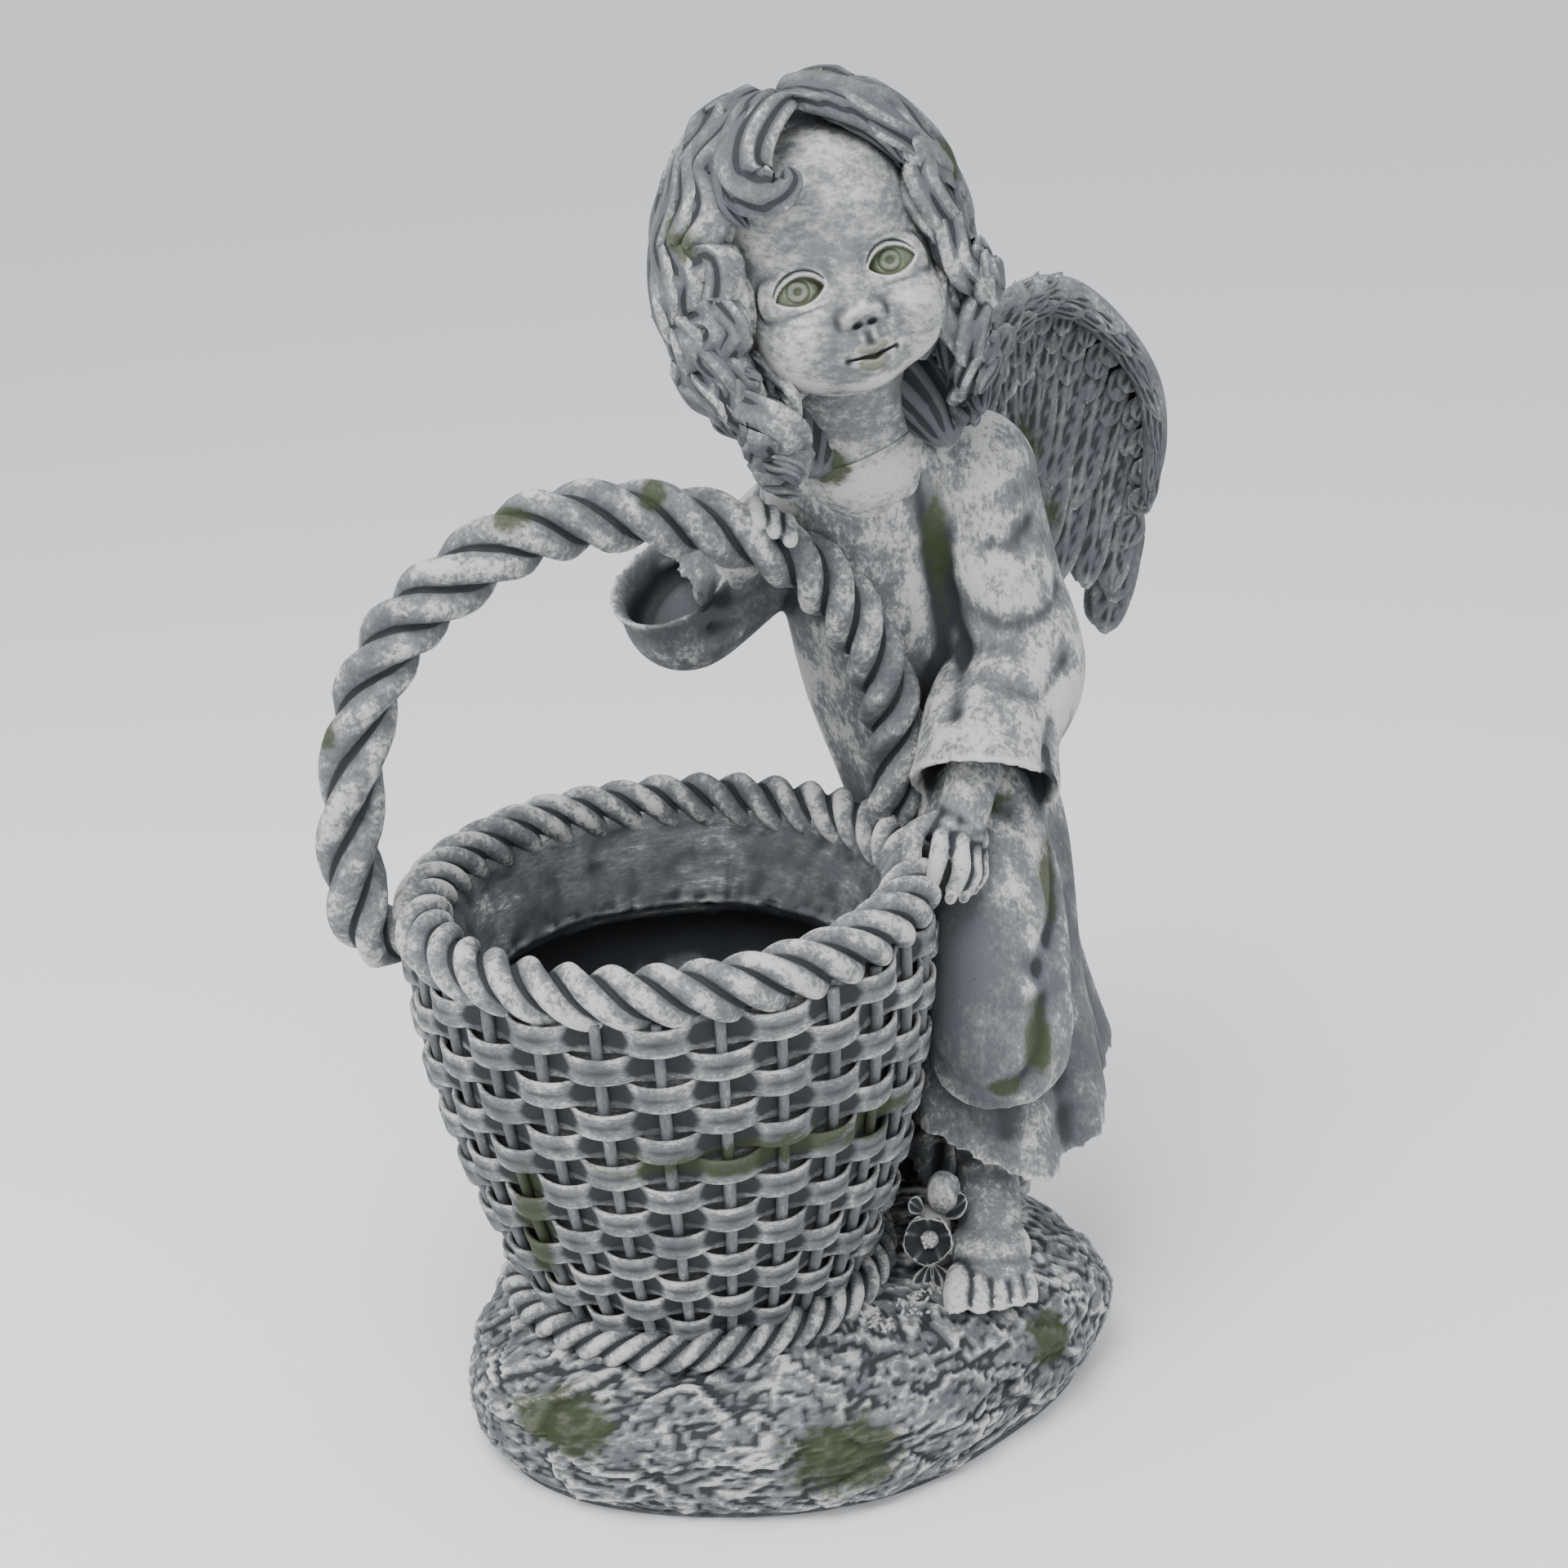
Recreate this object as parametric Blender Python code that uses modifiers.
"""Angel planter: a winged child on a rough ground, leaning over a wicker basket with a rope handle.

The real thing is one hollow cast, so this model is one object. Metres, +Z up, -Y towards the front.
The origin is on the flat underside, below the middle of the ground. Simple closed forms are joined,
melted into one skin, thinned, and then the woven wall is added and the basket's hollow is cut.
"""

import math

import bmesh
import bpy
import numpy as np
from mathutils import Matrix, Vector

# The ground that everything stands on
GROUND_LENGTH = 0.284
GROUND_DEPTH = 0.244
GROUND_HEIGHT = 0.056
GROUND_CENTRE = Vector((-0.008, -0.010))

# The basket
BASKET_CENTRE = Vector((-0.041, -0.018))
FOOT_RADIUS = 0.070
MOUTH_RADIUS = 0.108
BASKET_HEIGHT = 0.170
BULGE = 1.9
STAKES = 28
WEAVE_ROWS = 14
WEAVE_DEPTH = 0.0026
LIP_RADIUS = 0.081
LIP_DEPTH = 0.040
WALL = 0.009
FLOOR = 0.014

# The ropes
RIM_ROPE = 0.0125
FOOT_ROPE = 0.0085
HANDLE_ROPE = 0.0140
HANDLE_RISE = 0.158
HANDLE_LEFT = math.radians(189)
HANDLE_RIGHT = math.radians(26)
RIM_LAYS = 10
FOOT_LAYS = -9
HANDLE_LAYS = 6.5

# The child: its pose is in shares of its height, from the spot it stands on
CHILD_HEIGHT = 0.500
STAND = Vector((0.090, 0.0, GROUND_HEIGHT))
HEAD_WIDTH = 0.094
HEAD_DEPTH = 0.106
HEAD_LENGTH = 0.120
HEAD_PITCH = math.radians(19)
HEAD_YAW = math.radians(7)
HEAD_TILT = math.radians(-14)
LOCKS = 22
HAND_LENGTH = 0.042
FOOT_LENGTH = 0.066
CUFF_HOLLOW = 0.016

# The wings
WING_SPAN = 0.082
WING_HEIGHT = 0.136
FEATHERS = 7

# How finely the joined skin is melted and thinned
SKIN_CELL = 0.0028
SKIN_TRIANGLES = 5720
WEAVE_COLUMNS = 2
UNDERCUT = 0.012
RIM_HEIGHT = GROUND_HEIGHT + BASKET_HEIGHT + RIM_ROPE * 0.7
STONE = (0.46, 0.48, 0.50, 1.0)


def clear_scene():
    for item in list(bpy.data.objects):
        bpy.data.objects.remove(item)


def shares(x, y, z):
    """A point of the child's pose, given as shares of its height from where it stands."""
    return STAND + CHILD_HEIGHT * Vector((x, y, z))


def add_object(name, mesh, collection):
    item = bpy.data.objects.new(name, mesh)
    collection.objects.link(item)
    return item


def blob(centre, radii, turn=None, segments=20, rings=14):
    """A ball scaled to three radii, as a bmesh."""
    ball = bmesh.new()
    bmesh.ops.create_uvsphere(ball, u_segments=segments, v_segments=rings, radius=1.0)
    place = Matrix.Translation(centre)
    if turn is not None:
        place = place @ turn.to_4x4()
    bmesh.ops.transform(ball, matrix=place @ Matrix.Diagonal((*radii, 1.0)), verts=ball.verts)
    return ball


def tube(points, radii, resolution=3, cyclic=False):
    """A round limb, lock or strand: a curve with a radius at each of its points, as a bmesh."""
    curve = bpy.data.curves.new("tube", "CURVE")
    curve.dimensions = "3D"
    curve.bevel_depth = 1.0
    curve.bevel_resolution = resolution
    curve.use_fill_caps = not cyclic
    line = curve.splines.new("POLY")
    line.points.add(len(points) - 1)
    for spot, place, radius in zip(line.points, points, radii):
        spot.co = (*place, 1.0)
        spot.radius = radius
    line.use_cyclic_u = cyclic
    item = bpy.data.objects.new("tube", curve)
    bpy.context.scene.collection.objects.link(item)
    seen = item.evaluated_get(bpy.context.evaluated_depsgraph_get())
    solid = bmesh.new()
    solid.from_mesh(bpy.data.meshes.new_from_object(seen))
    bmesh.ops.remove_doubles(solid, verts=solid.verts, dist=1e-5)
    bpy.data.objects.remove(item)
    return solid


def loft(rings):
    """A closed body through rings of points that differ in shape, with both ends capped."""
    body = bmesh.new()
    loops = [[body.verts.new(point) for point in ring] for ring in rings]
    for low, high in zip(loops, loops[1:]):
        for i, corner in enumerate(low):
            following = (i + 1) % len(low)
            body.faces.new((corner, low[following], high[following], high[i]))
    body.faces.new(loops[0][::-1])
    body.faces.new(loops[-1])
    bmesh.ops.recalc_face_normals(body, faces=body.faces)
    return body


def smooth_path(stops, count):
    """Points evenly spread in parameter on a Catmull-Rom curve through the stops (rows may hold radii too)."""
    stops = np.array([tuple(s) for s in stops], float)
    padded = np.vstack([2 * stops[0] - stops[1], stops, 2 * stops[-1] - stops[-2]])
    place = np.linspace(0, len(stops) - 1 - 1e-9, count)
    i = place.astype(int)
    t = (place - i)[:, None]
    a, b, c, d = (padded[i + k] for k in range(4))
    return 0.5 * (2 * b + (c - a) * t + (2 * a - 5 * b + 4 * c - d) * t**2 + (3 * b - a - 3 * c + d) * t**3)


def frames(points, cyclic=False):
    """Two directions square to a path at each point, carried along it without twisting."""
    if cyclic:
        ahead = np.roll(points, -1, 0) - np.roll(points, 1, 0)
    else:
        ahead = np.gradient(points, axis=0)
    ahead /= np.linalg.norm(ahead, axis=1)[:, None]
    side = np.cross(ahead, (0.0, 0.0, 1.0) if cyclic else (0.45, -0.89, 0.0))
    side /= np.linalg.norm(side, axis=1)[:, None]
    return side, np.cross(side, ahead)


def rope(path, radius, turns, cyclic=False, strands=3):
    """A laid rope: each strand winds round the path, to the right for positive turns, and they overlap inside."""
    points = np.asarray(path, float)
    radius = np.broadcast_to(radius, (len(points),))
    side, up = frames(points, cyclic)
    along = np.arange(len(points)) / (len(points) if cyclic else len(points) - 1)
    found = []
    for strand in range(strands):
        angle = -2 * math.pi * (turns * along + strand / strands)
        off = np.cos(angle)[:, None] * side + np.sin(angle)[:, None] * up
        line = points + off * radius[:, None] * 0.48
        found.append(tube(line, radius * 0.58, 1, cyclic))
    return found


def ring_path(radius, height, count):
    angle = np.linspace(0, 2 * math.pi, count, endpoint=False)
    x = BASKET_CENTRE.x + radius * np.cos(angle)
    y = BASKET_CENTRE.y + radius * np.sin(angle)
    return np.stack([x, y, np.full(count, height)], -1)


def on_rim(angle, outwards=0.0, lift=0.0):
    reach = MOUTH_RADIUS - RIM_ROPE * 0.5 + outwards
    x = BASKET_CENTRE.x + reach * math.cos(angle)
    y = BASKET_CENTRE.y + reach * math.sin(angle)
    return Vector((x, y, RIM_HEIGHT + lift))


def handle_path(count):
    """An upright arch between two spots outside the rim, fuller on the side away from the child."""
    left = np.array(on_rim(HANDLE_LEFT, HANDLE_ROPE * 1.5, -RIM_ROPE))
    right = np.array(on_rim(HANDLE_RIGHT, 0, -RIM_ROPE))
    arch = [(0.080, -0.02), (-0.010, 0.09), (-0.014, 0.33), (0.035, 0.60), (0.105, 0.77), (0.20, 0.875), (0.33, 0.97), (0.45, 1.0)]
    arch += [(0.585, 0.985), (0.72, 0.93), (0.85, 0.84), (0.93, 0.73), (0.99, 0.59), (1.025, 0.44), (1.03, 0.28), (1.0, 0.0)]
    arch = smooth_path(arch, count)
    path = left + arch[:, :1] * (right - left)
    path[:, 2] += (HANDLE_RISE + RIM_ROPE) * arch[:, 1]
    return path


def ground():
    """A flat-bottomed boulder: an oval whose radius wanders, rounded over at the top."""
    angle = np.linspace(0, 2 * math.pi, 48, endpoint=False)
    wander = 1 + 0.045 * np.cos(2 * angle - 2.4) + 0.035 * np.cos(3 * angle + 0.6) + 0.02 * np.cos(5 * angle)
    rings = []
    for height, share in ((-0.2, 0.88), (0.1, 0.93), (0.42, 1.0), (0.66, 0.985), (0.86, 0.9), (1.0, 0.72), (1.04, 0.3)):
        x = GROUND_CENTRE.x + GROUND_LENGTH / 2 * share * wander * np.cos(angle)
        y = GROUND_CENTRE.y + GROUND_DEPTH / 2 * share * wander * np.sin(angle)
        z = GROUND_HEIGHT * (height + 0.05 * math.sin(math.pi * min(height, 1)) * np.cos(4 * angle + 1))
        rings.append(np.stack([x, y, z], -1))
    return [loft(rings)]


def wall_radius(share):
    """The basket's outer radius at a share of its height: narrow at the foot, full towards the mouth."""
    return FOOT_RADIUS + (MOUTH_RADIUS - FOOT_RADIUS) * (1 - (1 - share) ** BULGE)


def turned(name, outline, collection):
    """A turned form round the basket's middle: an outline of (radius, height) with a Screw modifier."""
    profile = bmesh.new()
    corners = [profile.verts.new((radius, 0.0, height)) for radius, height in outline]
    for low, high in zip(corners, corners[1:]):
        profile.edges.new((low, high))
    mesh = bpy.data.meshes.new(name)
    profile.to_mesh(mesh)
    profile.free()
    item = add_object(name, mesh, collection)
    item.location = (*BASKET_CENTRE, 0.0)
    turn = item.modifiers.new("Turn", "SCREW")
    turn.steps = turn.render_steps = 48
    turn.use_merge_vertices = True
    turn.merge_threshold = 0.00005
    turn.use_normal_flip = True
    return item


def basket_core():
    """A plain pot just under the weave. It flares at both ends to back the two rings of rope."""
    outline = [(-0.05, FOOT_RADIUS + FOOT_ROPE), (0.03, FOOT_RADIUS + FOOT_ROPE)]
    outline += [(share, wall_radius(share) - WEAVE_DEPTH * 1.5) for share in (0.09, 0.3, 0.5, 0.7, 0.9)]
    outline += [(1.0, MOUTH_RADIUS - RIM_ROPE * 0.4), (1.05, MOUTH_RADIUS - RIM_ROPE * 0.6)]
    outline = [(radius, GROUND_HEIGHT + BASKET_HEIGHT * share) for share, radius in outline]
    outline = [(0.0, outline[0][1]), *outline, (0.0, outline[-1][1])]
    item = turned("core", outline, bpy.context.scene.collection)
    mesh = applied(item)
    mesh.transform(item.matrix_world)
    core = bmesh.new()
    core.from_mesh(mesh)
    bpy.data.objects.remove(item)
    return [core]


def woven_wall():
    """The basket's body: each band passes over one stake and behind the next, row by row."""
    columns = STAKES * WEAVE_COLUMNS
    angle = np.linspace(0, 2 * math.pi, columns, endpoint=False)
    stake = np.arange(columns) / WEAVE_COLUMNS
    rings = [(0.02, np.full(columns, wall_radius(0.0) * 0.94))]
    for row in range(WEAVE_ROWS):
        wave = WEAVE_DEPTH * np.cos(math.pi * (stake + row))
        for edge in (0.08, 0.92):
            share = (row + edge) / WEAVE_ROWS
            rings.append((share, wall_radius(share) + wave))
    rings.append((1.0, np.full(columns, wall_radius(1.0) * 0.985)))
    points = []
    for share, radius in rings:
        x = BASKET_CENTRE.x + radius * np.cos(angle)
        y = BASKET_CENTRE.y + radius * np.sin(angle)
        z = np.full(columns, GROUND_HEIGHT * 0.92 + (BASKET_HEIGHT + GROUND_HEIGHT * 0.08) * share)
        points.append(np.stack([x, y, z], -1))
    return loft(points)


def hollow_outline():
    """The basket's inside, from its floor up: a pot that follows the wall, then a sloping lip."""
    floor = GROUND_HEIGHT + FLOOR
    top = RIM_HEIGHT + RIM_ROPE * 1.2
    lip = RIM_HEIGHT - LIP_DEPTH
    share = (lip - GROUND_HEIGHT) / BASKET_HEIGHT
    return [
        (0.0, floor),
        (FOOT_RADIUS - 2 * WALL, floor),
        (FOOT_RADIUS - WALL, floor + WALL / 2),
        (wall_radius(share * 0.22) - WALL, GROUND_HEIGHT + BASKET_HEIGHT * share * 0.22),
        (wall_radius(share * 0.5) - WALL, GROUND_HEIGHT + BASKET_HEIGHT * share * 0.5),
        (min(LIP_RADIUS + WALL, wall_radius(share * 0.8) - WALL), lip - WALL * 1.5),
        (LIP_RADIUS, lip),
        (MOUTH_RADIUS - RIM_ROPE * 1.2, RIM_HEIGHT - RIM_ROPE * 0.4),
        (MOUTH_RADIUS - RIM_ROPE, top),
        (0.0, top),
    ]


def head_turn():
    """The head looks up and out at the viewer, with its crown leaning towards the basket."""
    turn = Matrix.Rotation(HEAD_YAW, 3, "Z") @ Matrix.Rotation(-HEAD_PITCH, 3, "X")
    return turn @ Matrix.Rotation(HEAD_TILT, 3, "Y")


HEAD_CENTRE = shares(-0.101, 0.036, 0.852)


def in_head(x, y, z):
    """A point given in half widths, depths and lengths of the head: x across, y back, z up."""
    local = Vector((x * HEAD_WIDTH / 2, y * HEAD_DEPTH / 2, z * HEAD_LENGTH / 2))
    return HEAD_CENTRE + head_turn() @ local


def head():
    """Skull, cheeks, chin, nose, lips and eyes, as rounded masses in the head's own directions."""
    turn = head_turn()
    unit = HEAD_WIDTH / 2
    parts = [blob(HEAD_CENTRE, (HEAD_WIDTH / 2, HEAD_DEPTH / 2, HEAD_LENGTH / 2), turn, 32, 24)]
    masses = [
        ((0.0, -0.56, -0.62), (0.50, 0.46, 0.40)),
        ((0.0, -0.92, -0.16), (0.15, 0.30, 0.15)),
        ((0.0, -0.90, -0.42), (0.24, 0.20, 0.10)),
        ((0.0, -0.86, -0.53), (0.19, 0.20, 0.08)),
        ((0.0, -0.72, 0.42), (0.70, 0.40, 0.40)),
    ]
    for side in (-1, 1):
        masses.append(((0.44 * side, -0.62, -0.36), (0.42, 0.42, 0.42)))
        masses.append(((0.13 * side, -0.93, -0.20), (0.09, 0.16, 0.08)))
        masses.append(((0.40 * side, -0.80, 0.02), (0.20, 0.16, 0.15)))
    for centre, radii in masses:
        parts.append(blob(in_head(*centre), [unit * r for r in radii], turn, 16, 10))
    return parts


def lock_path(azimuth, start, drop, wave, phase, lift):
    """A lock's middle line: from the crown down over the skull, swinging from side to side."""
    t = np.linspace(0, 1, 14)
    polar = start + (drop - start) * t
    swing = azimuth + wave * np.sin(2 * math.pi * (1.6 * t + phase)) * (0.25 + t)
    reach = lift * (1 + 0.04 * np.sin(2 * math.pi * (1.6 * t + phase + 0.25)))
    below = np.maximum(polar - math.radians(105), 0)
    spread = np.sin(np.minimum(polar, math.radians(105))) - 0.25 * below
    x, y = reach * spread * np.sin(swing), -reach * spread * np.cos(swing)
    z = reach * (np.cos(np.minimum(polar, math.radians(105))) - 0.95 * below)
    return [in_head(*point) for point in zip(x, y, z)]


def hair():
    """A cap of hair, locks all round the face and nape, and the curl on the forehead."""
    unit = HEAD_WIDTH / 2
    parts = [blob(in_head(0, 0.16, 0.10), (unit * 1.12, unit * 1.16, unit * 1.20), head_turn(), 28, 20)]
    t = np.linspace(0, 1, 14)
    taper = unit * 0.30 * (0.45 + 0.75 * np.sin(math.pi * t**0.8)) * (1 - 0.45 * t)
    for i in range(LOCKS):
        azimuth = math.radians(58 + (302 - 58) * i / (LOCKS - 1))
        drop = math.radians(128 + 9 * math.sin(2.3 * i))
        side = math.radians(12 if i < LOCKS / 2 else -12)
        for layer, share in enumerate((1.0, 0.72)):
            path = lock_path(azimuth, math.radians(14), drop * share, side, 0.37 * i + 0.5 * layer, 0.99 + 0.05 * layer)
            parts.append(tube(path, taper, 2))
    curl = [(0.10, -0.72, 0.94), (-0.22, -0.95, 0.84), (-0.50, -0.98, 0.66), (-0.46, -1.04, 0.44), (-0.26, -1.08, 0.40)]
    path = [in_head(*p) for p in smooth_path(curl, 12)]
    parts.append(tube(path, unit * np.linspace(0.26, 0.10, 12), 2))
    left = [(-0.95, -0.35, -0.35), (-1.10, -0.25, -0.75), (-0.80, -0.18, -1.10), (-0.76, -0.12, -1.38), (-0.62, -0.1, -1.60)]
    path = [in_head(*p) for p in smooth_path(left, 12)]
    parts.append(tube(path, unit * np.linspace(0.30, 0.14, 12), 2))
    return parts


# Spots on the child that more than one part uses
NECK = shares(-0.085, 0.080, 0.706)
CHEST = shares(-0.060, 0.145, 0.592)
WAIST = shares(-0.048, 0.175, 0.462)
HIP = shares(-0.008, 0.165, 0.330)
KNEE = shares(0.004, 0.105, 0.200)
HEM = shares(0.012, 0.062, 0.100)
LEFT_SHOULDER = shares(0.010, 0.110, 0.656)
RIGHT_SHOULDER = shares(-0.118, 0.150, 0.628)


def neck():
    base = NECK.lerp(CHEST, 0.25)
    path = smooth_path([base, NECK, HEAD_CENTRE], 6)
    return [tube(path, CHILD_HEIGHT * np.array([0.062, 0.054, 0.050, 0.050, 0.054, 0.050]), 4)]


def robe():
    """The shift from collar to hem: ovals that widen downwards, with folds that deepen to the hem."""
    stops = [
        (*NECK, 0.026, 0.024, 0.0),
        (*NECK.lerp(CHEST, 0.35), 0.044, 0.034, 0.0),
        (*CHEST, 0.050, 0.042, 0.0004),
        (*WAIST, 0.046, 0.044, 0.0010),
        (*HIP, 0.046, 0.046, 0.0016),
        (*KNEE, 0.044, 0.050, 0.0026),
        (*HEM, 0.048, 0.061, 0.0040),
    ]
    scale = CHILD_HEIGHT / 0.5
    angle = np.linspace(0, 2 * math.pi, 44, endpoint=False)
    rings = []
    for x, y, z, wide, deep, fold in smooth_path(stops, 22):
        down = np.clip((NECK.z - z) / (NECK.z - HEM.z), 0, 1)
        ripple = fold * (np.cos(7 * angle + 3.0 * down) + 0.5 * np.cos(11 * angle + 1.0))
        tail = 0.008 * down**4 * np.exp(-(((angle - math.radians(18)) / 0.5) ** 2))
        ring_x = x + (wide + ripple + tail) * np.cos(angle) * scale
        ring_y = y + (deep + ripple) * np.sin(angle) * scale
        ring_z = z + (0.010 * down**3 * np.sin(2 * angle + 0.5)) * scale
        rings.append(np.stack([ring_x, ring_y, ring_z], -1))
    parts = [loft(rings)]
    thigh = [shares(0.005, 0.09, 0.42), shares(0.008, 0.01, 0.30), shares(0.008, -0.03, 0.20), shares(0.010, -0.020, 0.160)]
    parts.append(tube(smooth_path(thigh, 10), np.array([0.028, 0.029, 0.030, 0.031, 0.032, 0.032, 0.032, 0.031, 0.031, 0.032]) * scale, 5))
    shoulder = [RIGHT_SHOULDER, NECK.lerp(CHEST, 0.42), LEFT_SHOULDER]
    parts.append(tube(smooth_path(shoulder, 9), np.array([0.024, 0.028, 0.032, 0.034, 0.034, 0.034, 0.033, 0.031, 0.028]) * scale, 5))
    parts += [blob(RIGHT_SHOULDER, (0.025 * scale,) * 3), blob(LEFT_SHOULDER, (0.029 * scale,) * 3)]
    return parts


def sleeve(stops, hollow_depth):
    """A bell sleeve along an arm. The skin turns back inside at the cuff, so that the cuff is open."""
    path = smooth_path(stops, 16)
    inner = path[::-1][: 2 + round(hollow_depth / np.linalg.norm(path[-1, :3] - path[-2, :3]))]
    angle = np.linspace(0, 2 * math.pi, 24, endpoint=False)
    side, up = frames(path[:, :3])
    sides = {tuple(row): (side[i], up[i]) for i, row in enumerate(path)}
    rings = []
    for back, row in [(0, row) for row in path] + [(1, row) for row in inner]:
        across, over = sides[tuple(row)]
        x, y, z, radius = row
        fold = 1 + 0.05 * np.sin(3 * angle + 200 * radius)
        reach = (radius * fold - back * 0.0035)[:, None]
        ring = np.array([x, y, z]) + reach * (np.cos(angle)[:, None] * across + np.sin(angle)[:, None] * over)
        rings.append(ring)
    return loft(rings)


def hand(wrist, palm, tips, thumb):
    """A small hand: wrist, palm, four fingers that curl over what they hold, and a thumb."""
    unit = HAND_LENGTH / 6
    parts = [tube(smooth_path([wrist, palm], 4), np.array([1.5, 1.7, 1.9, 1.7]) * unit)]
    parts.append(blob(palm, (unit * 2.1, unit * 2.1, unit * 1.5)))
    for start, bend, tip in tips:
        parts.append(tube(smooth_path([start, bend, tip], 6), unit * np.array([0.95, 0.98, 0.95, 0.92, 0.88, 0.7])))
    parts.append(tube(smooth_path([palm, *thumb], 6), unit * np.array([1.0, 1.05, 1.0, 0.98, 0.95, 0.72])))
    return parts


def left_arm():
    """The arm on the viewer's right. Its fingers hang over the outside of the basket's rim."""
    rim = on_rim(math.radians(2), RIM_ROPE * 0.8, RIM_ROPE)
    palm = rim + Vector((0.009, 0.008, 0.010))
    wrist = palm + Vector((0.009, 0.011, 0.013))
    elbow = shares(0.042, 0.092, 0.492)
    stops = [
        (*LEFT_SHOULDER, 0.028),
        (*LEFT_SHOULDER.lerp(elbow, 0.5), 0.028),
        (*elbow, 0.030),
        (*elbow.lerp(wrist, 0.55), 0.030),
        (*(wrist + Vector((0.005, -0.001, -0.008))), 0.031),
    ]
    tips = []
    for i in range(4):
        start = palm + Vector((-0.009 + 0.0056 * i, -0.001, 0.001 - 0.001 * i))
        bend = rim + Vector((-0.003 + 0.0058 * i, -0.010, 0.007 - 0.001 * i))
        tip = rim + Vector((-0.003 + 0.0058 * i, -0.016, -0.011))
        tips.append((start, bend, tip))
    thumb = (palm + Vector((-0.014, 0.002, -0.002)), rim + Vector((-0.013, -0.003, -0.007)))
    return [sleeve(stops, CUFF_HOLLOW), *hand(wrist, palm, tips, thumb)]


def right_arm():
    """The arm behind the handle. Its cuff opens upwards, and its fingers lie over the rope."""
    grip = Vector(handle_path(40)[29])
    palm = grip + Vector((-0.013, 0.019, 0.004))
    cuff = shares(-0.250, 0.110, 0.584)
    wrist = cuff.lerp(palm, 0.45) + Vector((0, 0, 0.002))
    elbow = shares(-0.236, 0.130, 0.544)
    stops = [
        (*RIGHT_SHOULDER, 0.025),
        (*RIGHT_SHOULDER.lerp(elbow, 0.55), 0.024),
        (*elbow, 0.024),
        (*cuff.lerp(elbow, 0.4), 0.026),
        (*cuff, 0.028),
    ]
    tips = []
    for i in range(3):
        base = palm + Vector((0.006 * i, -0.001, 0.005 - 0.003 * i))
        bend = grip + Vector((-0.003 + 0.0062 * i, -0.001, 0.016 - 0.004 * i))
        tips.append((base, bend, bend + Vector((0.0015, -0.012, -0.006))))
    thumb = (palm + Vector((-0.006, -0.004, -0.008)), grip + Vector((-0.014, 0.004, -0.014)))
    return [sleeve(stops, CUFF_HOLLOW * 0.6), *hand(wrist, palm, tips, thumb)]


def leg(ankle, shin, toes):
    """A bare leg and foot: shin, heel, instep and five toes, pointing towards the toes."""
    heel_to_toe = (toes - ankle).to_2d().normalized()
    ahead = Vector((heel_to_toe.x, heel_to_toe.y, 0.0))
    across = Vector((-ahead.y, ahead.x, 0.0))
    unit = FOOT_LENGTH / 10
    heel = ankle - ahead * unit * 0.8 + Vector((0, 0, unit * 0.2 - (ankle.z - GROUND_HEIGHT)))
    parts = [tube(smooth_path([shin, shin.lerp(ankle, 0.6), ankle], 7), unit * np.array([2.6, 2.5, 2.3, 2.1, 2.0, 2.0, 2.2]))]
    parts.append(blob(heel + Vector((0, 0, unit * 1.2)), (unit * 2.0, unit * 2.2, unit * 2.0)))
    instep = [ankle + ahead * unit * 0.6, heel + ahead * unit * 5.2 + Vector((0, 0, unit * 1.5))]
    parts.append(tube(smooth_path(instep, 6), unit * np.array([2.2, 2.3, 2.4, 2.4, 2.2, 1.7])))
    ball = heel + ahead * unit * 5.4 + Vector((0, 0, unit * 0.9))
    for toe, (offset, size, reach) in enumerate(((-1.8, 1.05, 3.0), (-0.6, 0.8, 3.1), (0.35, 0.75, 2.8), (1.2, 0.7, 2.4), (1.95, 0.62, 1.9))):
        start = ball + across * unit * offset * 0.85
        tip = ball + across * unit * offset + ahead * unit * reach + Vector((0, 0, -unit * 0.15))
        middle = start.lerp(tip, 0.55) + Vector((0, 0, unit * 0.45))
        widths = size * unit * np.array([1.1, 1.05, 1.0, 1.0, 1.05, 0.8])
        parts.append(tube(smooth_path([start, middle, tip], 6), widths))
    return parts


def legs():
    near = leg(shares(-0.005, -0.016, 0.055), shares(-0.005, 0.040, 0.20), shares(-0.012, -0.14, 0.0))
    far = leg(shares(-0.125, 0.090, 0.055), shares(-0.09, 0.110, 0.20), shares(-0.17, -0.02, 0.0))
    stump = [shares(-0.05, 0.15, -0.03), shares(-0.045, 0.14, 0.10), shares(-0.04, 0.13, 0.22)]
    return near + far + [tube(smooth_path(stump, 6), np.array([0.040, 0.034, 0.030, 0.028, 0.027, 0.026]) * CHILD_HEIGHT / 0.5)]


def feather(root, tip, across, width, thickness):
    """A feather: a flat, round-ended paddle with a quill down its middle."""
    along = tip - root
    flat = across.cross(along).normalized()
    across = along.cross(flat).normalized()
    turn = Matrix((across, along.normalized(), flat)).transposed()
    middle = root.lerp(tip, 0.5)
    return blob(middle, (width / 2, along.length / 2, thickness), turn, 10, 8)


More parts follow.
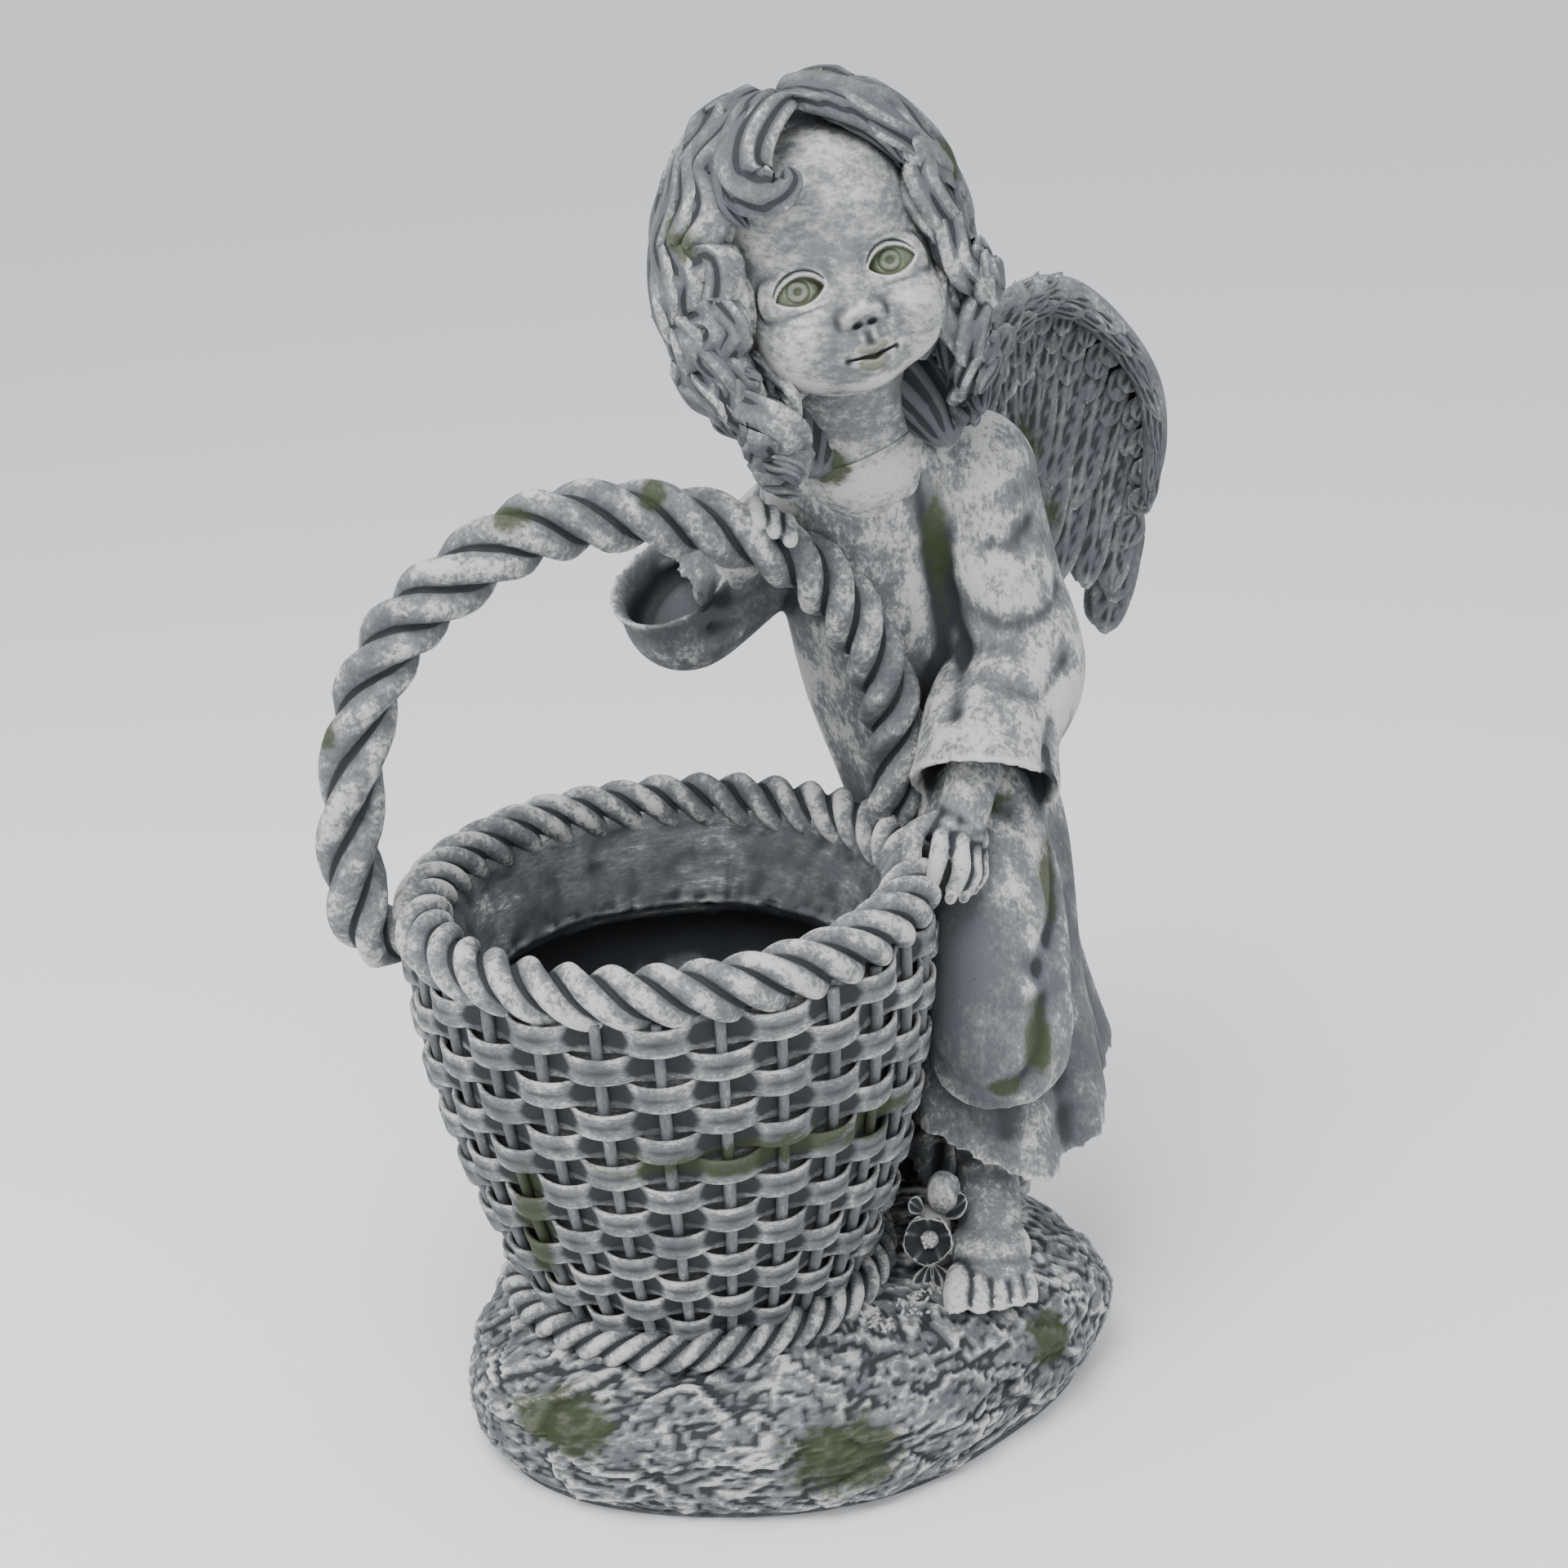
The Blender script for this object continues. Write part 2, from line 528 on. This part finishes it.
def wing(root, out, back, reach):
    """Rows of feathers below an arched leading edge. It spreads along out and faces away from back."""
    up = Vector((0, 0, 1))
    arch = [(0.0, 0.0), (0.10, 0.26), (0.28, 0.39), (0.52, 0.40), (0.76, 0.26), (0.95, 0.08), (1.0, -0.14), (0.95, -0.34)]
    edge = [root + out * (x * reach) + up * (z * WING_HEIGHT) + back * (x * x * 0.12 * reach) for x, z in smooth_path(arch, 24)]
    parts = [tube(edge, WING_HEIGHT * np.linspace(0.075, 0.028, 24))]
    rows = ((FEATHERS, 0.62, 0.050, 0.10), (FEATHERS, 0.42, 0.026, 0.085), (FEATHERS + 1, 0.24, 0.006, 0.07))
    for count, length, behind, width in rows:
        for i in range(count):
            t = 0.10 + 0.88 * i / (count - 1)
            start = edge[round(t * 23)] + back * behind * WING_HEIGHT
            fan = -up + out * (0.10 - 0.42 * t)
            tip = start + fan.normalized() * length * WING_HEIGHT * (0.85 + 0.25 * math.sin(math.pi * t))
            parts.append(feather(start, tip, out, width * WING_HEIGHT * 1.7, 0.026 * WING_HEIGHT))
    return parts


def wings():
    left_root, right_root = shares(0.020, 0.190, 0.684), shares(-0.100, 0.215, 0.684)
    left = wing(left_root, Vector((0.985, 0.17, 0.0)), Vector((-0.17, 0.985, 0.0)), WING_SPAN)
    right = wing(right_root, Vector((-0.10, 0.995, 0.0)), Vector((0.995, 0.10, 0.0)), WING_SPAN)
    back = NECK.lerp(CHEST, 0.9)
    roots = [tube(smooth_path([back, root], 3), [0.026, 0.024, 0.016]) for root in (left_root, right_root)]
    return left + right + roots


def flower(centre, facing, size, petals=5):
    """An open flower: a ring of petals round a button."""
    side = facing.orthogonal().normalized()
    over = facing.cross(side)
    parts = [blob(centre, (size * 0.55,) * 3)]
    for i in range(petals):
        angle = 2 * math.pi * i / petals
        out = side * math.cos(angle) + over * math.sin(angle)
        parts.append(blob(centre + out * size * 0.62 + facing * size * 0.25, (size * 0.45,) * 3, None, 10, 8))
    return parts


def flowers():
    """The blooms between the basket and the near foot, and tufts of small buds on the ground."""
    ground_at = GROUND_HEIGHT
    parts = flower(Vector((0.060, -0.040, ground_at + 0.020)), Vector((-0.2, -0.9, 0.4)).normalized(), 0.011)
    parts.append(blob(Vector((0.067, -0.030, ground_at + 0.034)), (0.0095, 0.0095, 0.011)))
    parts.append(tube(smooth_path([(0.060, -0.026, ground_at - 0.004), (0.062, -0.028, ground_at + 0.026)], 4), [0.013, 0.012, 0.010, 0.008]))
    for x, y, size in ((0.050, -0.066, 0.008), (0.036, -0.078, 0.0075), (0.058, -0.056, 0.007)):
        parts.append(blob(Vector((x, y, ground_at + 0.004)), (size, size, size * 0.8)))
    return parts


def joined(name, parts, collection):
    """All the parts as one mesh object. They overlap, and are melted together afterwards."""
    whole = bmesh.new()
    for part in parts:
        carrier = bpy.data.meshes.new("carrier")
        part.to_mesh(carrier)
        whole.from_mesh(carrier)
        bpy.data.meshes.remove(carrier)
        part.free()
    mesh = bpy.data.meshes.new(name)
    whole.to_mesh(mesh)
    whole.free()
    return add_object(name, mesh, collection)


def applied(item):
    """The object's mesh with its modifiers applied."""
    bpy.context.view_layer.update()
    seen = item.evaluated_get(bpy.context.evaluated_depsgraph_get())
    mesh = bpy.data.meshes.new_from_object(seen)
    item.modifiers.clear()
    item.data = mesh
    return mesh


def drop_crumbs(mesh):
    """Keeps the one large body. Thinning can leave crumbs of a few faces beside it."""
    work = bmesh.new()
    work.from_mesh(mesh)
    left, bodies = set(work.verts), []
    while left:
        body, front = set(), [left.pop()]
        while front:
            spot = front.pop()
            body.add(spot)
            for edge in spot.link_edges:
                other = edge.other_vert(spot)
                if other in left:
                    left.remove(other)
                    front.append(other)
        bodies.append(body)
    bodies.sort(key=len)
    for body in bodies[:-1]:
        bmesh.ops.delete(work, geom=list(body), context="VERTS")
    work.to_mesh(mesh)
    work.free()


def helper(item):
    item.hide_render = True
    item.display_type = "WIRE"
    return item


def boolean(item, other, operation):
    change = item.modifiers.new(operation.title(), "BOOLEAN")
    change.operation = operation
    change.object = other
    return change


def stone():
    material = bpy.data.materials.new("weathered stone")
    material.use_nodes = True
    shader = material.node_tree.nodes["Principled BSDF"]
    shader.inputs["Base Color"].default_value = STONE
    shader.inputs["Roughness"].default_value = 0.85
    return material


def build():
    clear_scene()
    scene = bpy.context.scene.collection
    model = bpy.data.collections.new("angel planter")
    cutters = bpy.data.collections.new("cutters")
    scene.children.link(model)
    scene.children.link(cutters)

    rim = rope(ring_path(MOUTH_RADIUS - RIM_ROPE * 0.5, RIM_HEIGHT, 132), RIM_ROPE, RIM_LAYS, True)
    foot = rope(ring_path(FOOT_RADIUS + FOOT_ROPE, GROUND_HEIGHT + FOOT_ROPE * 0.7, 120), FOOT_ROPE, FOOT_LAYS, True)
    path = handle_path(90)
    swell = HANDLE_ROPE * (0.90 + 0.14 * np.sin(np.linspace(0, math.pi, 90)))
    handle = rope(path, swell, HANDLE_LAYS)
    parts = ground() + basket_core() + rim + foot + handle + robe() + left_arm() + right_arm() + legs()
    parts += neck() + head() + hair() + wings() + flowers()
    planter = joined("angel_planter", parts, model)

    melt = planter.modifiers.new("Melt", "REMESH")
    melt.mode = "VOXEL"
    melt.voxel_size = SKIN_CELL
    soften = planter.modifiers.new("Soften", "SMOOTH")
    soften.factor = 0.5
    soften.iterations = 2
    skin = applied(planter)
    skin.calc_loop_triangles()
    thin = planter.modifiers.new("Thin", "DECIMATE")
    thin.ratio = SKIN_TRIANGLES / len(skin.loop_triangles)
    drop_crumbs(applied(planter))

    wall_mesh = bpy.data.meshes.new("woven wall")
    woven_wall().to_mesh(wall_mesh)
    wall = helper(add_object("woven wall", wall_mesh, cutters))
    cavity = helper(turned("hollow", hollow_outline(), cutters))
    bpy.ops.mesh.primitive_cube_add(size=1)
    below = helper(bpy.context.object)
    below.name = "below ground"
    below.scale = (4 * GROUND_LENGTH, 4 * GROUND_DEPTH, 10 * UNDERCUT)
    below.location.z = -5 * UNDERCUT
    boolean(planter, wall, "UNION")
    boolean(planter, cavity, "DIFFERENCE")
    boolean(planter, below, "DIFFERENCE")
    planter.data.materials.append(stone())


build()
